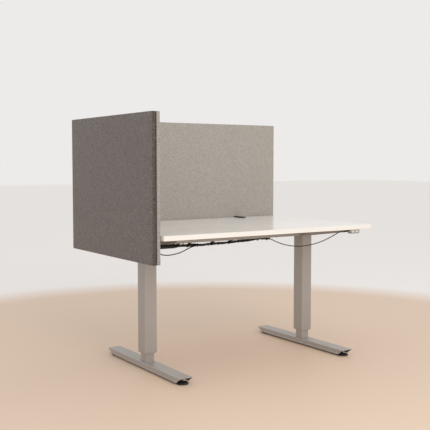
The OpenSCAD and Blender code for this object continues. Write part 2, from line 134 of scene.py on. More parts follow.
def framesAlong(line, closed=False):
    # a pair of directions across the line at each point, turned as little as possible
    count = len(line)
    tangents = []
    for i in range(count):
        before = line[i - 1] if closed or i > 0 else line[0]
        after = line[(i + 1) % count] if closed or i < count - 1 else line[-1]
        tangents.append(unit(after - before))
    side = tangents[0].orthogonal().normalized()
    pairs = []
    for tangent in tangents:
        side = unit(side - tangent * side.dot(tangent))
        pairs.append((side, tangent.cross(side)))
    return pairs


def sweepInto(shape, line, radius, sides=12):
    rings = []
    for point, (u, v) in zip(line, framesAlong(line)):
        ring = []
        for k in range(sides):
            turn = 2 * math.pi * k / sides
            ring.append(shape.verts.new(point + radius * (math.cos(turn) * u + math.sin(turn) * v)))
        rings.append(ring)
    for one, two in zip(rings, rings[1:]):
        for k in range(sides):
            shape.faces.new((one[k], one[(k + 1) % sides], two[(k + 1) % sides], two[k]))
    shape.faces.new(list(reversed(rings[0])))
    shape.faces.new(rings[-1])


def turnedInto(shape, profile, base, axis, sides=40):
    # a profile of (distance along the axis, radius) pairs, turned about the axis
    axis = unit(Vector(axis))
    u = axis.orthogonal().normalized()
    v = axis.cross(u)
    rings = []
    for along, radius in profile:
        ring = []
        for k in range(sides):
            turn = 2 * math.pi * k / sides
            out = math.cos(turn) * u + math.sin(turn) * v
            ring.append(shape.verts.new(Vector(base) + axis * along + out * radius))
        rings.append(ring)
    for one, two in zip(rings, rings[1:]):
        for k in range(sides):
            shape.faces.new((one[k], one[(k + 1) % sides], two[(k + 1) % sides], two[k]))
    shape.faces.new(list(reversed(rings[0])))
    shape.faces.new(rings[-1])


def facingOut(shape):
    bmesh.ops.recalc_face_normals(shape, faces=shape.faces)


# shader groups, each used by several finishes

def newGroup(name, inputs, outputs):
    group = bpy.data.node_groups.new(name, "ShaderNodeTree")
    for label, kind, value in inputs:
        socket = group.interface.new_socket(name=label, in_out="INPUT", socket_type=kind)
        if value is not None:
            socket.default_value = value
    for label, kind in outputs:
        group.interface.new_socket(name=label, in_out="OUTPUT", socket_type=kind)
    return group, group.nodes.new("NodeGroupInput"), group.nodes.new("NodeGroupOutput")


def noiseNode(tree, vector, scale, detail=2.0, rough=0.5):
    made = tree.nodes.new("ShaderNodeTexNoise")
    made.inputs["Detail"].default_value = detail
    made.inputs["Roughness"].default_value = rough
    tree.links.new(vector, made.inputs["Vector"])
    if isinstance(scale, (int, float)):
        made.inputs["Scale"].default_value = scale
    else:
        tree.links.new(scale, made.inputs["Scale"])
    return made.outputs["Fac"]


def rangeNode(tree, value, fromLow, fromHigh, toLow=0.0, toHigh=1.0):
    made = tree.nodes.new("ShaderNodeMapRange")
    ends = {"From Min": fromLow, "From Max": fromHigh, "To Min": toLow, "To Max": toHigh}
    for label, number in ends.items():
        if isinstance(number, (int, float)):
            made.inputs[label].default_value = number
        else:
            tree.links.new(number, made.inputs[label])
    tree.links.new(value, made.inputs["Value"])
    return made.outputs["Result"]


def mathNode(tree, action, one, two):
    made = tree.nodes.new("ShaderNodeMath")
    made.operation = action
    for socket, value in zip(made.inputs, (one, two)):
        if isinstance(value, (int, float)):
            socket.default_value = value
        else:
            tree.links.new(value, socket)
    return made.outputs["Value"]


def mixNode(tree, share, one, two, blend="MIX"):
    made = tree.nodes.new("ShaderNodeMix")
    made.data_type = "RGBA"
    made.blend_type = blend
    for socket, value in ((made.inputs[0], share), (made.inputs[6], one), (made.inputs[7], two)):
        if isinstance(value, (int, float, tuple)):
            socket.default_value = value
        else:
            tree.links.new(value, socket)
    return made.outputs[2]


def stretched(tree, vector, scale):
    made = tree.nodes.new("ShaderNodeMapping")
    made.inputs["Scale"].default_value = scale
    tree.links.new(vector, made.inputs["Vector"])
    return made.outputs["Vector"]


def buildFelt():
    # wool felt pressed on a faint weave: mottled yarn, loose pale and dark fibres, and painted shade
    # darkening it along the rim
    group, given, out = newGroup("woolFelt", [
        ("Place", "NodeSocketVector", None),
        ("Wool", "NodeSocketColor", (0.4, 0.38, 0.35, 1)),
        ("Dark Fibre", "NodeSocketColor", (0.1, 0.1, 0.1, 1)),
        ("Pale Fibre", "NodeSocketColor", (0.8, 0.8, 0.8, 1)),
        ("Rim", "NodeSocketFloat", 0.0),
        ("Painted Rim Shade", "NodeSocketFloat", 0.6),
        ("Contrast", "NodeSocketFloat", 0.5),
    ], [("Color", "NodeSocketColor"), ("Roughness", "NodeSocketFloat"), ("Height", "NodeSocketFloat")])
    place = given.outputs["Place"]
    cloud = noiseNode(group, place, 38.0, 3.0, 0.6)
    yarn = noiseNode(group, place, 210.0, 3.0, 0.8)
    across = noiseNode(group, stretched(group, place, (0.12, 0.12, 1.0)), 620.0, 2.0, 0.6)
    upward = noiseNode(group, stretched(group, place, (1.0, 1.0, 0.12)), 620.0, 2.0, 0.6)
    fleck = noiseNode(group, stretched(group, place, (0.5, 0.5, 0.8)), 420.0, 1.0, 0.4)

    def scaled(value, share):
        return mathNode(group, "MULTIPLY", value, share)

    weave = mathNode(group, "ADD", scaled(across, 0.5), scaled(upward, 0.5))
    body = mathNode(group, "ADD", scaled(yarn, 0.45), scaled(weave, 0.55))
    body = mathNode(group, "ADD", body, scaled(mathNode(group, "SUBTRACT", cloud, 0.5), 0.07))
    darkShare = mathNode(group, "MULTIPLY", rangeNode(group, body, 0.53, 0.44), given.outputs["Contrast"])
    paleShare = mathNode(group, "MULTIPLY", rangeNode(group, fleck, 0.62, 0.74), given.outputs["Contrast"])
    color = mixNode(group, darkShare, given.outputs["Wool"], given.outputs["Dark Fibre"])
    color = mixNode(group, paleShare, color, given.outputs["Pale Fibre"])
    # painted shade: where the mask is set the colour is multiplied darker, standing in for the shade along
    # the cover's edge
    paintedShadeShare = mathNode(group, "MULTIPLY", given.outputs["Rim"], given.outputs["Painted Rim Shade"])
    color = mixNode(group, paintedShadeShare, color, mixNode(group, 1.0, color, (0.33, 0.33, 0.33, 1), "MULTIPLY"))
    group.links.new(color, out.inputs["Color"])
    group.links.new(rangeNode(group, body, 0.3, 0.7, 0.97, 0.88), out.inputs["Roughness"])
    height = mathNode(group, "ADD", body, mathNode(group, "MULTIPLY", fleck, 0.5))
    group.links.new(height, out.inputs["Height"])
    return group


def buildCoat():
    # a thin coat of powder or paint: fine orange peel, faint flakes, hand-rubbed patches
    group, given, out = newGroup("thinCoat", [
        ("Place", "NodeSocketVector", None),
        ("Paint", "NodeSocketColor", (0.4, 0.38, 0.35, 1)),
        ("Grain", "NodeSocketFloat", 900.0),
        ("Flake", "NodeSocketFloat", 0.1),
        ("Gloss Low", "NodeSocketFloat", 0.35),
        ("Gloss High", "NodeSocketFloat", 0.5),
    ], [("Color", "NodeSocketColor"), ("Roughness", "NodeSocketFloat"), ("Height", "NodeSocketFloat")])
    place = given.outputs["Place"]
    peel = noiseNode(group, place, given.outputs["Grain"], 2.0, 0.5)
    patch = noiseNode(group, place, 7.0, 4.0, 0.55)
    speck = rangeNode(group, noiseNode(group, place, 2600.0, 1.0, 0.5), 0.35, 0.65, -1.0, 1.0)
    shade = mathNode(group, "ADD", 1.0, mathNode(group, "MULTIPLY", speck, given.outputs["Flake"]))
    shade = mathNode(group, "ADD", shade, rangeNode(group, patch, 0.3, 0.7, -0.025, 0.025))
    tone = group.nodes.new("ShaderNodeCombineColor")
    for channel in tone.inputs:
        group.links.new(shade, channel)
    color = mixNode(group, 1.0, given.outputs["Paint"], tone.outputs["Color"], "MULTIPLY")
    group.links.new(color, out.inputs["Color"])
    gloss = rangeNode(group, patch, 0.3, 0.7, given.outputs["Gloss Low"], given.outputs["Gloss High"])
    group.links.new(gloss, out.inputs["Roughness"])
    group.links.new(peel, out.inputs["Height"])
    return group


woolFelt = buildFelt()
thinCoat = buildCoat()


# finishes

def newFinish(name):
    finish = bpy.data.materials.new(name)
    finish.use_nodes = True
    tree = finish.node_tree
    shader = next(n for n in tree.nodes if n.type == "BSDF_PRINCIPLED")
    place = tree.nodes.new("ShaderNodeTexCoord").outputs["Object"]
    return finish, tree, shader, place


def bumpInto(tree, shader, height, strength, distance):
    bump = tree.nodes.new("ShaderNodeBump")
    bump.inputs["Strength"].default_value = strength
    bump.inputs["Distance"].default_value = distance
    tree.links.new(height, bump.inputs["Height"])
    tree.links.new(bump.outputs["Normal"], shader.inputs["Normal"])


def feltFinish(name, wool, dark, pale, contrast, paintedRimShade):
    finish, tree, shader, place = newFinish(name)
    felt = tree.nodes.new("ShaderNodeGroup")
    felt.node_tree = woolFelt
    # the cover's painted rim shade mask, stored on its mesh, says where the felt is painted darker as shade
    rim = tree.nodes.new("ShaderNodeAttribute")
    rim.attribute_name = "rim"
    tree.links.new(place, felt.inputs["Place"])
    tree.links.new(rim.outputs["Fac"], felt.inputs["Rim"])
    felt.inputs["Wool"].default_value = (*wool, 1)
    felt.inputs["Dark Fibre"].default_value = (*dark, 1)
    felt.inputs["Pale Fibre"].default_value = (*pale, 1)
    felt.inputs["Contrast"].default_value = contrast
    felt.inputs["Painted Rim Shade"].default_value = paintedRimShade
    tree.links.new(felt.outputs["Color"], shader.inputs["Base Color"])
    tree.links.new(felt.outputs["Roughness"], shader.inputs["Roughness"])
    shader.inputs["Specular IOR Level"].default_value = 0.2
    shader.inputs["Sheen Weight"].default_value = 0.25
    shader.inputs["Sheen Roughness"].default_value = 0.5
    bumpInto(tree, shader, felt.outputs["Height"], 0.7, 0.0005)
    return finish


def coatFinish(name, paint, grain=900.0, flake=0.04, gloss=(0.38, 0.48), metal=0.0, depth=0.00004, coat=0.0):
    finish, tree, shader, place = newFinish(name)
    layer = tree.nodes.new("ShaderNodeGroup")
    layer.node_tree = thinCoat
    tree.links.new(place, layer.inputs["Place"])
    layer.inputs["Paint"].default_value = (*paint, 1)
    layer.inputs["Grain"].default_value = grain
    layer.inputs["Flake"].default_value = flake
    layer.inputs["Gloss Low"].default_value, layer.inputs["Gloss High"].default_value = gloss
    tree.links.new(layer.outputs["Color"], shader.inputs["Base Color"])
    tree.links.new(layer.outputs["Roughness"], shader.inputs["Roughness"])
    shader.inputs["Metallic"].default_value = metal
    shader.inputs["Coat Weight"].default_value = coat
    bumpInto(tree, shader, layer.outputs["Height"], 0.5, depth)
    return finish


finishes = {
    "grey_steel": coatFinish("greySteel", (0.40, 0.375, 0.355), 1100.0, 0.10, (0.36, 0.46), 0.35, 0.00005),
    "white_laminate": coatFinish("whiteLaminate", (0.85, 0.83, 0.79), 1500.0, 0.01, (0.19, 0.20),
                                 0.0, 0.000005),
    "white_edging": coatFinish("whiteEdging", (0.86, 0.84, 0.80), 1500.0, 0.01, (0.28, 0.36), 0.0, 0.00001),
    # each felt's last number sets how dark its rim is painted as shade; the light felt's rim is painted
    # darker too
    "dark_felt": feltFinish("darkFelt", (0.175, 0.155, 0.145), (0.045, 0.042, 0.040),
                            (0.42, 0.39, 0.37), 0.75, 0.65),
    "light_felt": feltFinish("lightFelt", (0.43, 0.40, 0.365), (0.19, 0.176, 0.162),
                             (0.70, 0.66, 0.61), 0.6, 0.2),
    "core_board": coatFinish("coreBoard", (0.50, 0.38, 0.25), 300.0, 0.3, (0.7, 0.85), 0.0, 0.0004),
    "seam_tape": coatFinish("seamTape", (0.035, 0.032, 0.030), 1600.0, 0.3, (0.75, 0.9), 0.0, 0.0002),
    "black_plastic": coatFinish("blackPlastic", (0.022, 0.021, 0.020), 1400.0, 0.05, (0.42, 0.55),
                                0.0, 0.00008),
    "grey_plastic": coatFinish("greyPlastic", (0.33, 0.31, 0.29), 1400.0, 0.03, (0.42, 0.52), 0.0, 0.00006),
    "dark_grey_plastic": coatFinish("darkGreyPlastic", (0.075, 0.073, 0.070), 1400.0, 0.05,
                                    (0.45, 0.58), 0.0, 0.0001),
    "ivory_plastic": coatFinish("ivoryPlastic", (0.72, 0.68, 0.57), 900.0, 0.02, (0.35, 0.45),
                                0.0, 0.00003),
    "white_plastic": coatFinish("whitePlastic", (0.70, 0.69, 0.66), 1400.0, 0.01, (0.36, 0.46),
                                0.0, 0.00003),
    "black_steel": coatFinish("blackSteel", (0.028, 0.027, 0.026), 900.0, 0.08, (0.36, 0.5), 0.0, 0.00008),
    "bright_steel": coatFinish("brightSteel", (0.56, 0.56, 0.57), 1800.0, 0.05, (0.24, 0.36), 1.0, 0.00002),
    "black_rubber": coatFinish("blackRubber", (0.025, 0.025, 0.025), 1100.0, 0.1, (0.7, 0.85), 0.0, 0.0001),
    "black_cable": coatFinish("blackCable", (0.018, 0.018, 0.018), 1300.0, 0.05, (0.38, 0.5), 0.0, 0.00005),
    "earth_cable": coatFinish("earthCable", (0.42, 0.44, 0.05), 1300.0, 0.05, (0.38, 0.5), 0.0, 0.00005),
}
for part in frame["record"]["subparts"]:
    mesh = frame["nodes"][part["node"]].data
    mesh.materials.clear()
    mesh.materials.append(finishes[part["material_slot"]])
slotOf = {part["node"]: part["material_slot"] for part in frame["record"]["subparts"]}
print("finishes made,", len(finishes))


def dressed(piece, slotName, body, *stoodFor):
    piece.data.materials.clear()
    piece.data.materials.append(finishes[slotName])
    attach(piece, body)
    if stoodFor:
        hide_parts(*stoodFor)
    return piece


# cords and cables: each route's points are those of the part, in metres from the desk's middle

handsetCord = {
    "diameter": 0.0045,
    "route": [
        (0.234, -0.019, 0.581), (0.244, -0.021, 0.580), (0.256, -0.030, 0.575), (0.268, -0.046, 0.566),
        (0.281, -0.072, 0.557), (0.295, -0.101, 0.551), (0.310, -0.134, 0.548), (0.326, -0.169, 0.549),
        (0.343, -0.206, 0.555), (0.361, -0.245, 0.566), (0.379, -0.284, 0.582), (0.396, -0.320, 0.602),
        (0.409, -0.348, 0.620), (0.416, -0.364, 0.630), (0.424, -0.376, 0.635), (0.434, -0.380, 0.636)],
}
leftMotorCord = {
    "diameter": 0.005,
    "route": [
        (-0.425, -0.016, 0.584), (-0.425, -0.016, 0.574), (-0.420, -0.016, 0.558), (-0.407, -0.017, 0.543),
        (-0.388, -0.018, 0.535), (-0.362, -0.020, 0.532), (-0.335, -0.022, 0.534), (-0.306, -0.024, 0.539),
        (-0.280, -0.025, 0.547), (-0.256, -0.026, 0.557), (-0.230, -0.027, 0.566), (-0.204, -0.027, 0.571),
        (-0.178, -0.027, 0.573), (-0.148, -0.027, 0.575), (-0.118, -0.027, 0.576)],
}
rightMotorCord = {
    "diameter": 0.005,
    "route": [
        (0.234, -0.013, 0.584), (0.244, -0.013, 0.586), (0.256, -0.014, 0.593), (0.270, -0.015, 0.603),
        (0.288, -0.016, 0.611), (0.312, -0.016, 0.615), (0.340, -0.016, 0.615)],
}
earthWire = {
    "diameter": 0.004,
    "route": [
        (-0.238, -0.049, 0.604), (-0.246, -0.049, 0.603), (-0.257, -0.049, 0.598), (-0.268, -0.049, 0.595),
        (-0.279, -0.049, 0.594), (-0.290, -0.050, 0.591), (-0.297, -0.050, 0.586), (-0.303, -0.042, 0.582),
        (-0.305, -0.025, 0.576)],
}
cableBundle = {
    "strands": 6,
    "strandDiameter": 0.0052,
    "spread": 0.0052,
    "turns": 3.5,
    "lay": 0.3,  # how much of those turns each lead takes, every other one the opposite way
    "wander": 0.0022,
    "wanderPerMetre": 22.0,
    "twist": 1.4,
    "twistPerMetre": 9.0,
    "ties": 12,
    "tieRadius": 0.0068,
    "tieWidth": 0.0036,
    "tieThickness": 0.0009,
    "clipPlaces": (-0.312, -0.248, -0.114, -0.004, 0.106, 0.230),  # along X, at each clip's middle
    "pinch": 0.4,
    "pinchReach": 0.014,
    "tieHead": (0.0032, 0.0048, 0.0046),
    "route": [
        (-0.391, 0.046, 0.577), (-0.391, 0.026, 0.577), (-0.386, 0.002, 0.576), (-0.360, -0.014, 0.575),
        (-0.320, -0.016, 0.574), (-0.270, -0.016, 0.573), (-0.220, -0.016, 0.572), (-0.170, -0.016, 0.572),
        (-0.120, -0.016, 0.573), (-0.070, -0.016, 0.574), (-0.020, -0.016, 0.575), (0.030, -0.016, 0.577),
        (0.080, -0.016, 0.579), (0.130, -0.016, 0.581), (0.180, -0.016, 0.582), (0.234, -0.016, 0.582)],
}


def addCord(name, values, slotName, part, steps=8, sides=14):
    line = [onDesk(p) for p in smoothRoute(values["route"], steps)]
    shape = bmesh.new()
    sweepInto(shape, line, values["diameter"] / 2, sides)
    facingOut(shape)
    cord = dressed(addPiece(name, meshFrom(name, shape)), slotName, "desk", part)
    return cord, line


def addCables():
    for name, values, part in (("handsetCord", handsetCord, "handset_cable"),
                               ("leftMotorCord", leftMotorCord, "left_motor_lead")):
        cord, line = addCord(name, values, "black_cable", part)
        print(name, "length", round(lineLength(line), 3))
    addCord("rightMotorCord", rightMotorCord, "black_cable", "right_motor_lead")
    addCord("earthWire", earthWire, "earth_cable", "earth_lead")


def addBundle():
    # several leads laid round each other, pulled in and let out between the ties
    line = [onDesk(p) for p in smoothRoute(cableBundle["route"], 6)]
    frames = framesAlong(line)
    total = lineLength(line)
    gap = total / (cableBundle["ties"] - 1)
    shape = bmesh.new()
    for strand in range(cableBundle["strands"]):
        path, run = [], 0.0
        for i, (point, (u, v)) in enumerate(zip(line, frames)):
            if i:
                run += (point - line[i - 1]).length
            wound = cableBundle["turns"] * (run / total) * (-1) ** strand * cableBundle["lay"]
            turn = 2 * math.pi * (strand / cableBundle["strands"] + wound)
            drift = noise.noise(Vector((run * cableBundle["wanderPerMetre"], strand * 7.3, 0.5)))
            reach = cableBundle["spread"] * (0.0 if strand == 0 else 1.0) + cableBundle["wander"] * drift
            toTie = abs(run - gap * round(run / gap))
            toClip = min(abs(point.x - deskMiddle.x - place) for place in cableBundle["clipPlaces"])
            near = min(toTie, toClip) / cableBundle["pinchReach"]
            reach *= 1 - cableBundle["pinch"] * math.exp(-near ** 2)
            sway = noise.noise(Vector((run * cableBundle["twistPerMetre"], strand * 3.1, 4.2)))
            turn += cableBundle["twist"] * sway
            path.append(point + reach * (math.cos(turn) * u + math.sin(turn) * v))
        sweepInto(shape, path, cableBundle["strandDiameter"] / 2, 10)
    facingOut(shape)
    dressed(addPiece("cableBundle", meshFrom("cableBundle", shape)), "black_cable", "desk", "cable_bundle")
    addTies(line)


def newTree(name, inputs):
    tree = bpy.data.node_groups.new(name, "GeometryNodeTree")
    tree.interface.new_socket(name="Geometry", in_out="INPUT", socket_type="NodeSocketGeometry")
    for label, kind in inputs:
        tree.interface.new_socket(name=label, in_out="INPUT", socket_type=kind)
    tree.interface.new_socket(name="Geometry", in_out="OUTPUT", socket_type="NodeSocketGeometry")
    return tree, tree.nodes.new("NodeGroupInput"), tree.nodes.new("NodeGroupOutput")


def finished(tree, geometry, given, out):
    real = tree.nodes.new("GeometryNodeRealizeInstances")
    paint = tree.nodes.new("GeometryNodeSetMaterial")
    tree.links.new(geometry, real.inputs["Geometry"])
    tree.links.new(real.outputs["Geometry"], paint.inputs["Geometry"])
    tree.links.new(given.outputs["Finish"], paint.inputs["Material"])
    tree.links.new(paint.outputs["Geometry"], out.inputs["Geometry"])


def grown(name, seed, tree, values):
    # runs the tree on a seed mesh and keeps only the plain mesh that comes out
    carrier = addPiece(name, seed)
    growth = carrier.modifiers.new("growth", "NODES")
    growth.node_group = tree
    for item in tree.interface.items_tree:
        if item.in_out == "INPUT" and item.name in values:
            growth[item.identifier] = values[item.name]
    ready = carrier.evaluated_get(bpy.context.evaluated_depsgraph_get())
    mesh = bpy.data.meshes.new_from_object(ready)
    carrier.modifiers.remove(growth)
    carrier.data = mesh
    return carrier


def buildTieTree():
    # rings with a square head, spaced evenly along a line
    tree, given, out = newTree("tiesAlong", [
        ("Count", "NodeSocketInt"), ("Radius", "NodeSocketFloat"), ("Width", "NodeSocketFloat"),
        ("Thickness", "NodeSocketFloat"), ("Finish", "NodeSocketMaterial")])
    links = tree.links
    line = tree.nodes.new("GeometryNodeMeshToCurve")
    spots = tree.nodes.new("GeometryNodeCurveToPoints")
    links.new(given.outputs["Geometry"], line.inputs["Mesh"])
    links.new(line.outputs["Curve"], spots.inputs["Curve"])
    links.new(given.outputs["Count"], spots.inputs["Count"])
    circle = tree.nodes.new("GeometryNodeCurvePrimitiveCircle")
    circle.inputs["Resolution"].default_value = 20
    links.new(given.outputs["Radius"], circle.inputs["Radius"])
    strap = tree.nodes.new("GeometryNodeCurvePrimitiveQuadrilateral")
    links.new(given.outputs["Thickness"], strap.inputs["Width"])
    links.new(given.outputs["Width"], strap.inputs["Height"])
    ring = tree.nodes.new("GeometryNodeCurveToMesh")
    links.new(circle.outputs["Curve"], ring.inputs["Curve"])
    links.new(strap.outputs["Curve"], ring.inputs["Profile Curve"])
    head = tree.nodes.new("GeometryNodeMeshCube")
    size = tree.nodes.new("ShaderNodeCombineXYZ")
    for socket, width in zip(size.inputs, cableBundle["tieHead"]):
        socket.default_value = width
    links.new(size.outputs["Vector"], head.inputs["Size"])
    moved = tree.nodes.new("GeometryNodeTransform")
    shift = tree.nodes.new("ShaderNodeCombineXYZ")
    links.new(given.outputs["Radius"], shift.inputs["Y"])
    links.new(head.outputs["Mesh"], moved.inputs["Geometry"])
    links.new(shift.outputs["Vector"], moved.inputs["Translation"])
    both = tree.nodes.new("GeometryNodeJoinGeometry")
    links.new(ring.outputs["Mesh"], both.inputs["Geometry"])
    links.new(moved.outputs["Geometry"], both.inputs["Geometry"])
    laid = tree.nodes.new("GeometryNodeInstanceOnPoints")
    links.new(spots.outputs["Points"], laid.inputs["Points"])
    links.new(spots.outputs["Rotation"], laid.inputs["Rotation"])
    links.new(both.outputs["Geometry"], laid.inputs["Instance"])
    finished(tree, laid.outputs["Instances"], given, out)
    return tree


def addTies(line):
    path = bpy.data.meshes.new("tiePath")
    path.from_pydata([p[:] for p in line], [(i, i + 1) for i in range(len(line) - 1)], [])
    ties = grown("cableTies", path, buildTieTree(), {
        "Count": cableBundle["ties"], "Radius": cableBundle["tieRadius"], "Width": cableBundle["tieWidth"],
        "Thickness": cableBundle["tieThickness"], "Finish": finishes["black_plastic"]})
    dressed(ties, "black_plastic", "desk")


reliefSleeve = {
    "ribs": 8,
    "pitch": 0.0025,
    "grooveDepth": 0.0006,
    "wall": 0.0006,
    "fullRadius": 0.0042,
    "ribsEnd": 0.021,
    "length": 0.028,
}


def addRelief():
    # the sleeve where the lead enters the handset: tapered, with ribs that let it bend
    bare = handsetCord["diameter"] / 2 + reliefSleeve["wall"]
    full, deep = reliefSleeve["fullRadius"], reliefSleeve["grooveDepth"]
    profile = [(0.0, bare - 0.0003)]
    for k in range(reliefSleeve["ribs"]):
        start = 0.0004 + k * reliefSleeve["pitch"]
        radius = bare + (full - bare) * k / reliefSleeve["ribs"]
        profile += [(start, radius), (start + 0.0012, radius + 0.0002), (start + 0.0014, radius - deep),
                    (start + 0.0023, radius - deep)]
    profile += [(reliefSleeve["ribsEnd"], full), (reliefSleeve["length"], full)]
    shape = bmesh.new()
    turnedInto(shape, profile, onDesk(handsetCord["route"][-1]), (1, 0, 0), 28)
    facingOut(shape)
    sleeve = addPiece("cableRelief", meshFrom("cableRelief", shape, False))
    dressed(sleeve, "black_plastic", "desk", "cable_relief")


addCables()
addBundle()
addRelief()
print("cords laid")


# the felt screens: two covers each, stretched over a board and drawn into the seam between them

screenCover = {
    "cell": 0.0095,
    "rimRadius": 0.0030,
    "cornerRadius": 0.0035,
    "seamHalf": 0.0028,
    "seamInset": 0.0042,
    "lip": ((0.0010, 0.0001), (0.0003, 0.0005), (0.0, 0.0015)),  # inset, and depth past the seam
    "crown": 0.0013,
    "pressure": 3.0,
    "frames": 12,
}


def rounded(u, w, length, height, radius):
    # turns the square corners of a panel's outline into round ones
    du = min(u, length - u)
    dw = min(w, height - w)
    if du >= radius or dw >= radius:
        return u, w
    p = (radius - du) / radius
    q = (radius - dw) / radius
    p, q = p * math.sqrt(1 - q * q / 2), q * math.sqrt(1 - p * p / 2)
    u = radius * (1 - p) if u < length / 2 else length - radius * (1 - p)
    w = radius * (1 - q) if w < height / 2 else height - radius * (1 - q)
    return u, w


def coverShape(name, part, axis, side):
    # axis is the one the cover faces along, side is +1 or -1
    low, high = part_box(part)
    run = 1 - axis
    length, height, thick = high[run] - low[run], high.z - low.z, high[axis] - low[axis]
    radius = screenCover["rimRadius"]
    across = max(8, round(length / screenCover["cell"]))
    upward = max(8, round(height / screenCover["cell"]))
    inner = low[axis] if side > 0 else high[axis]

    def placed(u, w, depth):
        u, w = rounded(u, w, length, height, screenCover["cornerRadius"])
        point = Vector((0, 0, low.z + w))
        point[run] = low[run] + u
        point[axis] = inner + side * depth
        return point

    def edge(i, j, inset):
        return inset + (length - 2 * inset) * i / across, inset + (height - 2 * inset) * j / upward

    shape = bmesh.new()
    paintedShadeLayer = shape.verts.layers.float.new("rim")
    # each loop's inset from the outline, its depth and how much painted shade it takes: the seam and the rim
    # are painted darker as shade
    loops = [(screenCover["seamInset"], 0.0, 1.0), (screenCover["seamInset"], screenCover["seamHalf"], 1.0)]
    loops += [(inset, screenCover["seamHalf"] + depth, 1.0) for inset, depth in screenCover["lip"]]
    loops += [(0.0, 0.5 * thick, 1.0), (0.0, thick - radius, 0.95)]
    # the rounded rim's arcs take less painted shade as they turn onto the face
    for degrees, shade in ((18, 0.85), (36, 0.65), (54, 0.4), (72, 0.2)):
        turn = math.radians(degrees)
        loops.append((radius * (1 - math.cos(turn)), thick - radius * (1 - math.sin(turn)), shade))
    border = [(i, 0) for i in range(across)] + [(across, j) for j in range(upward)]
    border += [(i, upward) for i in range(across, 0, -1)] + [(0, j) for j in range(upward, 0, -1)]
    rings = []
    for inset, depth, shade in loops:
        ring = []
        for i, j in border:
            vert = shape.verts.new(placed(*edge(i, j, inset), depth))
            vert[paintedShadeLayer] = shade
            ring.append(vert)
        rings.append(ring)
    face = {}
    for i in range(across + 1):
        for j in range(upward + 1):
            face[i, j] = shape.verts.new(placed(*edge(i, j, radius), thick))
            # the face's two rows of cells next to the rim take a little painted shade too
            near = min(i, j, across - i, upward - j)
            face[i, j][paintedShadeLayer] = {0: 0.08, 1: 0.03}.get(near, 0.0)
    for i in range(across):
        for j in range(upward):
            shape.faces.new((face[i, j], face[i + 1, j], face[i + 1, j + 1], face[i, j + 1]))
    rings.append([face[i, j] for i, j in border])
    for one, two in zip(rings, rings[1:]):
        for k in range(len(border)):
            n = (k + 1) % len(border)
            shape.faces.new((one[k], one[n], two[n], two[k]))
    shape.faces.new(rings[0])
    facingOut(shape)
    return meshFrom(name, shape), inner, thick


def puffed(cover, axis, side, inner, thick):
    # the felt is blown out a little from the board while its rim is held, then the swelling is capped
    mesh = cover.data
    rest = [v.co.copy() for v in mesh.vertices]
    held = cover.vertex_groups.new(name="held")
    bodyDepth = thick - 0.5 * screenCover["rimRadius"]
    held.add([v.index for v in mesh.vertices if side * (v.co[axis] - inner) < bodyDepth], 1.0, "REPLACE")
    cloth = cover.modifiers.new("puff", "CLOTH")
    values = cloth.settings
    values.quality = 4
    values.mass = 0.25
    values.tension_stiffness = 30
    values.compression_stiffness = 30
    values.shear_stiffness = 15
    values.bending_stiffness = 3
    values.use_pressure = True
    values.uniform_pressure_force = screenCover["pressure"]
    values.vertex_group_mass = "held"
    values.effector_weights.gravity = 0
    scene = bpy.context.scene
    for number in range(1, screenCover["frames"] + 1):
        scene.frame_set(number)
    evaluated = cover.evaluated_get(bpy.context.evaluated_depsgraph_get())
    moved = [v.co.copy() for v in evaluated.data.vertices]
    cover.modifiers.remove(cloth)
    scene.frame_set(1)
    for vert, start, end in zip(mesh.vertices, rest, moved):
        lift = side * (end - start)[axis]
        lift = screenCover["crown"] * math.tanh(max(lift, 0.0) / screenCover["crown"])
        vert.co[axis] = start[axis] + side * lift
    mesh.update()


def addCover(name, part, axis, side, slotName):
    mesh, inner, thick = coverShape(name, part, axis, side)
    cover = addPiece(name, mesh)
    puffed(cover, axis, side, inner, thick)
    cover.vertex_groups.clear()
    dressed(cover, slotName, "desk", part)


addCover("sideScreenDarkCover", "side_screen_dark_cover", 0, -1, "dark_felt")
addCover("sideScreenLightCover", "side_screen_light_cover", 0, 1, "light_felt")
addCover("backScreenDarkCover", "back_screen_dark_cover", 1, 1, "dark_felt")
addCover("backScreenLightCover", "back_screen_light_cover", 1, -1, "light_felt")
print("screens covered")


# steel and plastic parts with their edges eased

def easedCopy(name, part, width, segments=2, angle=30):
    source = frame["nodes"][part].data
    mesh = bpy.data.meshes.new(name)
    mesh.from_pydata([v.co[:] for v in source.vertices], [], [p.vertices[:] for p in source.polygons])
    shape = bmesh.new()
    shape.from_mesh(mesh)
    bmesh.ops.remove_doubles(shape, verts=shape.verts, dist=0.00001)
    bmesh.ops.dissolve_limit(shape, angle_limit=math.radians(0.5), verts=shape.verts, edges=shape.edges)
    shape.to_mesh(mesh)
    shape.free()
    mesh.shade_smooth()
    piece = addPiece(name, mesh)
    ease = piece.modifiers.new("ease", "BEVEL")
    ease.width = width
    ease.segments = segments
    ease.limit_method = "ANGLE"
    ease.angle_limit = math.radians(angle)
    ease.miter_outer = "MITER_ARC"
    even = piece.modifiers.new("even", "WEIGHTED_NORMAL")
    even.keep_sharp = True
    return piece


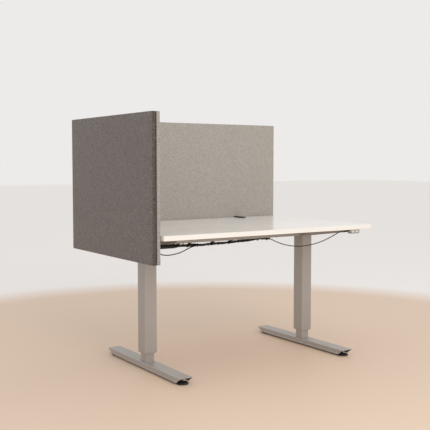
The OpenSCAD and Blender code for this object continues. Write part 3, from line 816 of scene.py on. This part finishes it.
easedParts = {
    "left_foot": 0.0007, "right_foot": 0.0007,
    "left_outer_collar": 0.0005, "right_outer_collar": 0.0005,
    "left_arm": 0.0007, "right_arm": 0.0007, "crossbeam": 0.0007,
    "edging": 0.0016,
    "side_clamps": 0.0009, "back_clamps": 0.0009,
    "control_box_cradle": 0.0004, "control_box": 0.0015,
    "handset": 0.0004, "up_button": 0.0008, "down_button": 0.0008,
    "left_motor": 0.0009, "right_motor": 0.0009,
    "side_front_clamp_screw": 0.0005, "side_back_clamp_screw": 0.0005,
    "back_left_clamp_screw": 0.0005, "back_right_clamp_screw": 0.0005,
    "cable_clips": 0.0003,
    "front_left_glide": 0.0007, "front_right_glide": 0.0007,
    "back_left_glide": 0.0007, "back_right_glide": 0.0007,
}
bodyOf = {part: body for body, parts in frame["record"]["behaviour"]["bodies"].items() for part in parts}


def camelName(part):
    words = part.split("_")
    return words[0] + "".join(word.capitalize() for word in words[1:])


def addEasedParts():
    for part, width in easedParts.items():
        piece = easedCopy(camelName(part), part, width, 3 if part == "edging" else 2)
        dressed(piece, slotOf[part], bodyOf[part], part)


addEasedParts()
print("edges eased,", len(easedParts), "parts")


# screw heads with a hexagon socket, and the marks on the keys

screwHead = {
    "height": 0.0011,
    "socket": 0.5,  # share of the head's radius
    "sides": 12,
}


def islandsOf(part):
    shape = bmesh.new()
    shape.from_mesh(frame["nodes"][part].data)
    bmesh.ops.remove_doubles(shape, verts=shape.verts, dist=0.00001)
    left, found = set(shape.verts), []
    while left:
        wave, island = [left.pop()], []
        while wave:
            vert = wave.pop()
            island.append(vert.co.copy())
            for edge in vert.link_edges:
                other = edge.other_vert(vert)
                if other in left:
                    left.remove(other)
                    wave.append(other)
        found.append(island)
    shape.free()
    return found


def headsOf(part):
    # each fastener's wider end: its middle, the way it faces and its radius
    heads = []
    for island in islandsOf(part):
        low = Vector([min(p[k] for p in island) for k in range(3)])
        high = Vector([max(p[k] for p in island) for k in range(3)])
        size, middle = high - low, (low + high) / 2
        axis = min(range(3), key=lambda k: abs(size[(k + 1) % 3] - size[(k + 2) % 3]))
        best = None
        for end, level in ((-1, low[axis]), (1, high[axis])):
            centre = [middle[k] for k in range(3) if k != axis]
            reach = [math.dist([p[k] for k in range(3) if k != axis], centre)
                     for p in island if abs(p[axis] - level) < 0.0001]
            if reach and (best is None or max(reach) > best[2]):
                spot = middle.copy()
                spot[axis] = level
                way = Vector((0, 0, 0))
                way[axis] = end
                best = (spot, way, max(reach))
        heads.append(best)
    return heads


def buildHead():
    shape = bmesh.new()
    count, tall = screwHead["sides"], screwHead["height"]
    rings = []
    for radius, level, hexagon in ((0.98, 0.0, False), (0.98, 0.4, False), (0.8, 1.0, False),
                                   (screwHead["socket"], 1.0, True), (screwHead["socket"], 0.15, True)):
        ring = []
        for k in range(count):
            turn = 2 * math.pi * k / count
            reach = radius * (math.cos(math.pi / 6) if hexagon and k % 2 else 1.0)
            ring.append(shape.verts.new((reach * math.cos(turn), reach * math.sin(turn), tall * level)))
        rings.append(ring)
    for one, two in zip(rings, rings[1:]):
        for k in range(count):
            shape.faces.new((one[k], one[(k + 1) % count], two[(k + 1) % count], two[k]))
    shape.faces.new(list(reversed(rings[0])))
    shape.faces.new(rings[-1])
    facingOut(shape)
    return addPiece("screwHead", meshFrom("screwHead", shape, False))


def buildHeadTree():
    # one head on every point, facing along the point's "way" and as wide as its "reach"
    tree, given, out = newTree("screwHeads", [("Head", "NodeSocketObject"), ("Finish", "NodeSocketMaterial")])
    links = tree.links
    head = tree.nodes.new("GeometryNodeObjectInfo")
    links.new(given.outputs["Head"], head.inputs["Object"])
    facing = tree.nodes.new("FunctionNodeAlignRotationToVector")
    facing.axis = "Z"
    values = {}
    for label, kind in (("way", "FLOAT_VECTOR"), ("reach", "FLOAT_VECTOR")):
        values[label] = tree.nodes.new("GeometryNodeInputNamedAttribute")
        values[label].data_type = kind
        values[label].inputs["Name"].default_value = label
    links.new(values["way"].outputs["Attribute"], facing.inputs["Vector"])
    laid = tree.nodes.new("GeometryNodeInstanceOnPoints")
    links.new(given.outputs["Geometry"], laid.inputs["Points"])
    links.new(head.outputs["Geometry"], laid.inputs["Instance"])
    links.new(facing.outputs["Rotation"], laid.inputs["Rotation"])
    links.new(values["reach"].outputs["Attribute"], laid.inputs["Scale"])
    finished(tree, laid.outputs["Instances"], given, out)
    return tree


def addScrewHeads():
    head, tree = buildHead(), buildHeadTree()
    for part, body in (("foot_screws", "base"), ("frame_bolts", "desk"), ("table_screws", "desk"),
                       ("screen_screws", "desk")):
        heads = headsOf(part)
        spots = bpy.data.meshes.new(part)
        spots.from_pydata([spot[:] for spot, way, reach in heads], [], [])
        way = spots.attributes.new("way", "FLOAT_VECTOR", "POINT")
        reach = spots.attributes.new("reach", "FLOAT_VECTOR", "POINT")
        for i, (spot, facing, radius) in enumerate(heads):
            way.data[i].vector = facing
            reach.data[i].vector = (radius, radius, 1.0)
        values = {"Head": head, "Finish": finishes["bright_steel"]}
        piece = grown(camelName(part) + "Heads", spots, tree, values)
        dressed(piece, "bright_steel", body)
        print(part, "heads", len(heads))
    bpy.data.objects.remove(head)


keyMark = {
    "halfWidth": 0.0024,
    "foot": 0.0017,  # below the key's middle
    "tip": 0.0023,  # above it
    "proud": 0.00015,
    "sunk": 0.0002,
}


def addKeyMarks():
    # plain triangles, pointing the way each key sends the desk
    for part, body, way in (("up_button", "up_key", 1), ("down_button", "down_key", -1)):
        low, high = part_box(part)
        middle = (low + high) / 2
        shape = bmesh.new()
        wide, foot = keyMark["halfWidth"], -keyMark["foot"] * way
        corners = [(-wide, foot), (wide, foot), (0.0, keyMark["tip"] * way)]
        front, back = ([shape.verts.new((middle.x + u, low.y + depth, middle.z + w)) for u, w in corners]
                       for depth in (-keyMark["proud"], keyMark["sunk"]))
        shape.faces.new(front)
        shape.faces.new(list(reversed(back)))
        for k in range(3):
            shape.faces.new((front[k], front[(k + 1) % 3], back[(k + 1) % 3], back[k]))
        facingOut(shape)
        dressed(addPiece(camelName(part) + "Mark", meshFrom(part, shape, False)), "dark_grey_plastic", body)


addScrewHeads()
addKeyMarks()
print("screw heads and key marks added")


# floor and light

studio = {
    "floorColor": (0.76, 0.60, 0.47),
    "farColor": (0.92, 0.90, 0.885),
    "floorSize": 60.0,
    "fadeFrom": 2.05,
    "fadeTo": 2.5,
    "skyColor": (0.865, 0.845, 0.83),
    "skyStrength": 0.98,
    "keyStrength": 62.0,
    "keyColor": (1.0, 0.97, 0.93),
}


def addFloor():
    shape = bmesh.new()
    bmesh.ops.create_grid(shape, x_segments=1, y_segments=1, size=studio["floorSize"] / 2)
    for vert in shape.verts:
        vert.co.z = -0.0003
    floor = addPiece("paleFloor", meshFrom("paleFloor", shape, False))
    finish, tree, shader, place = newFinish("paleFloor")
    centred = tree.nodes.new("ShaderNodeVectorMath")
    centred.operation = "LENGTH"
    tree.links.new(place, centred.inputs[0])
    fade = rangeNode(tree, centred.outputs["Value"], studio["fadeFrom"], studio["fadeTo"])
    near, far = (*studio["floorColor"], 1), (*studio["farColor"], 1)
    tree.links.new(mixNode(tree, fade, near, far), shader.inputs["Base Color"])
    shader.inputs["Roughness"].default_value = 0.55
    shader.inputs["Specular IOR Level"].default_value = 0.25
    floor.data.materials.append(finish)


def addLights():
    scene = bpy.context.scene
    world = bpy.data.worlds.new("paleStudio")
    scene.world = world
    world.use_nodes = True
    sky = next(n for n in world.node_tree.nodes if n.type == "BACKGROUND")
    sky.inputs["Color"].default_value = (*studio["skyColor"], 1)
    sky.inputs["Strength"].default_value = studio["skyStrength"]
    for name, place, aim, size, strength in (
            ("keyPanel", (-0.6, -4.0, 2.6), (0.0, 0.0, 0.5), 2.4, studio["keyStrength"]),):
        lamp = bpy.data.lights.new(name, "AREA")
        lamp.shape = "SQUARE"
        lamp.size = size
        lamp.energy = strength
        lamp.color = studio["keyColor"]
        panel = bpy.data.objects.new(name, lamp)
        panel.location = place
        panel.rotation_euler = (Vector(aim) - Vector(place)).to_track_quat("-Z", "Y").to_euler()
        scene.collection.objects.link(panel)
    scene.view_settings.view_transform = "Standard"


addFloor()
addLights()
print("studio lit")
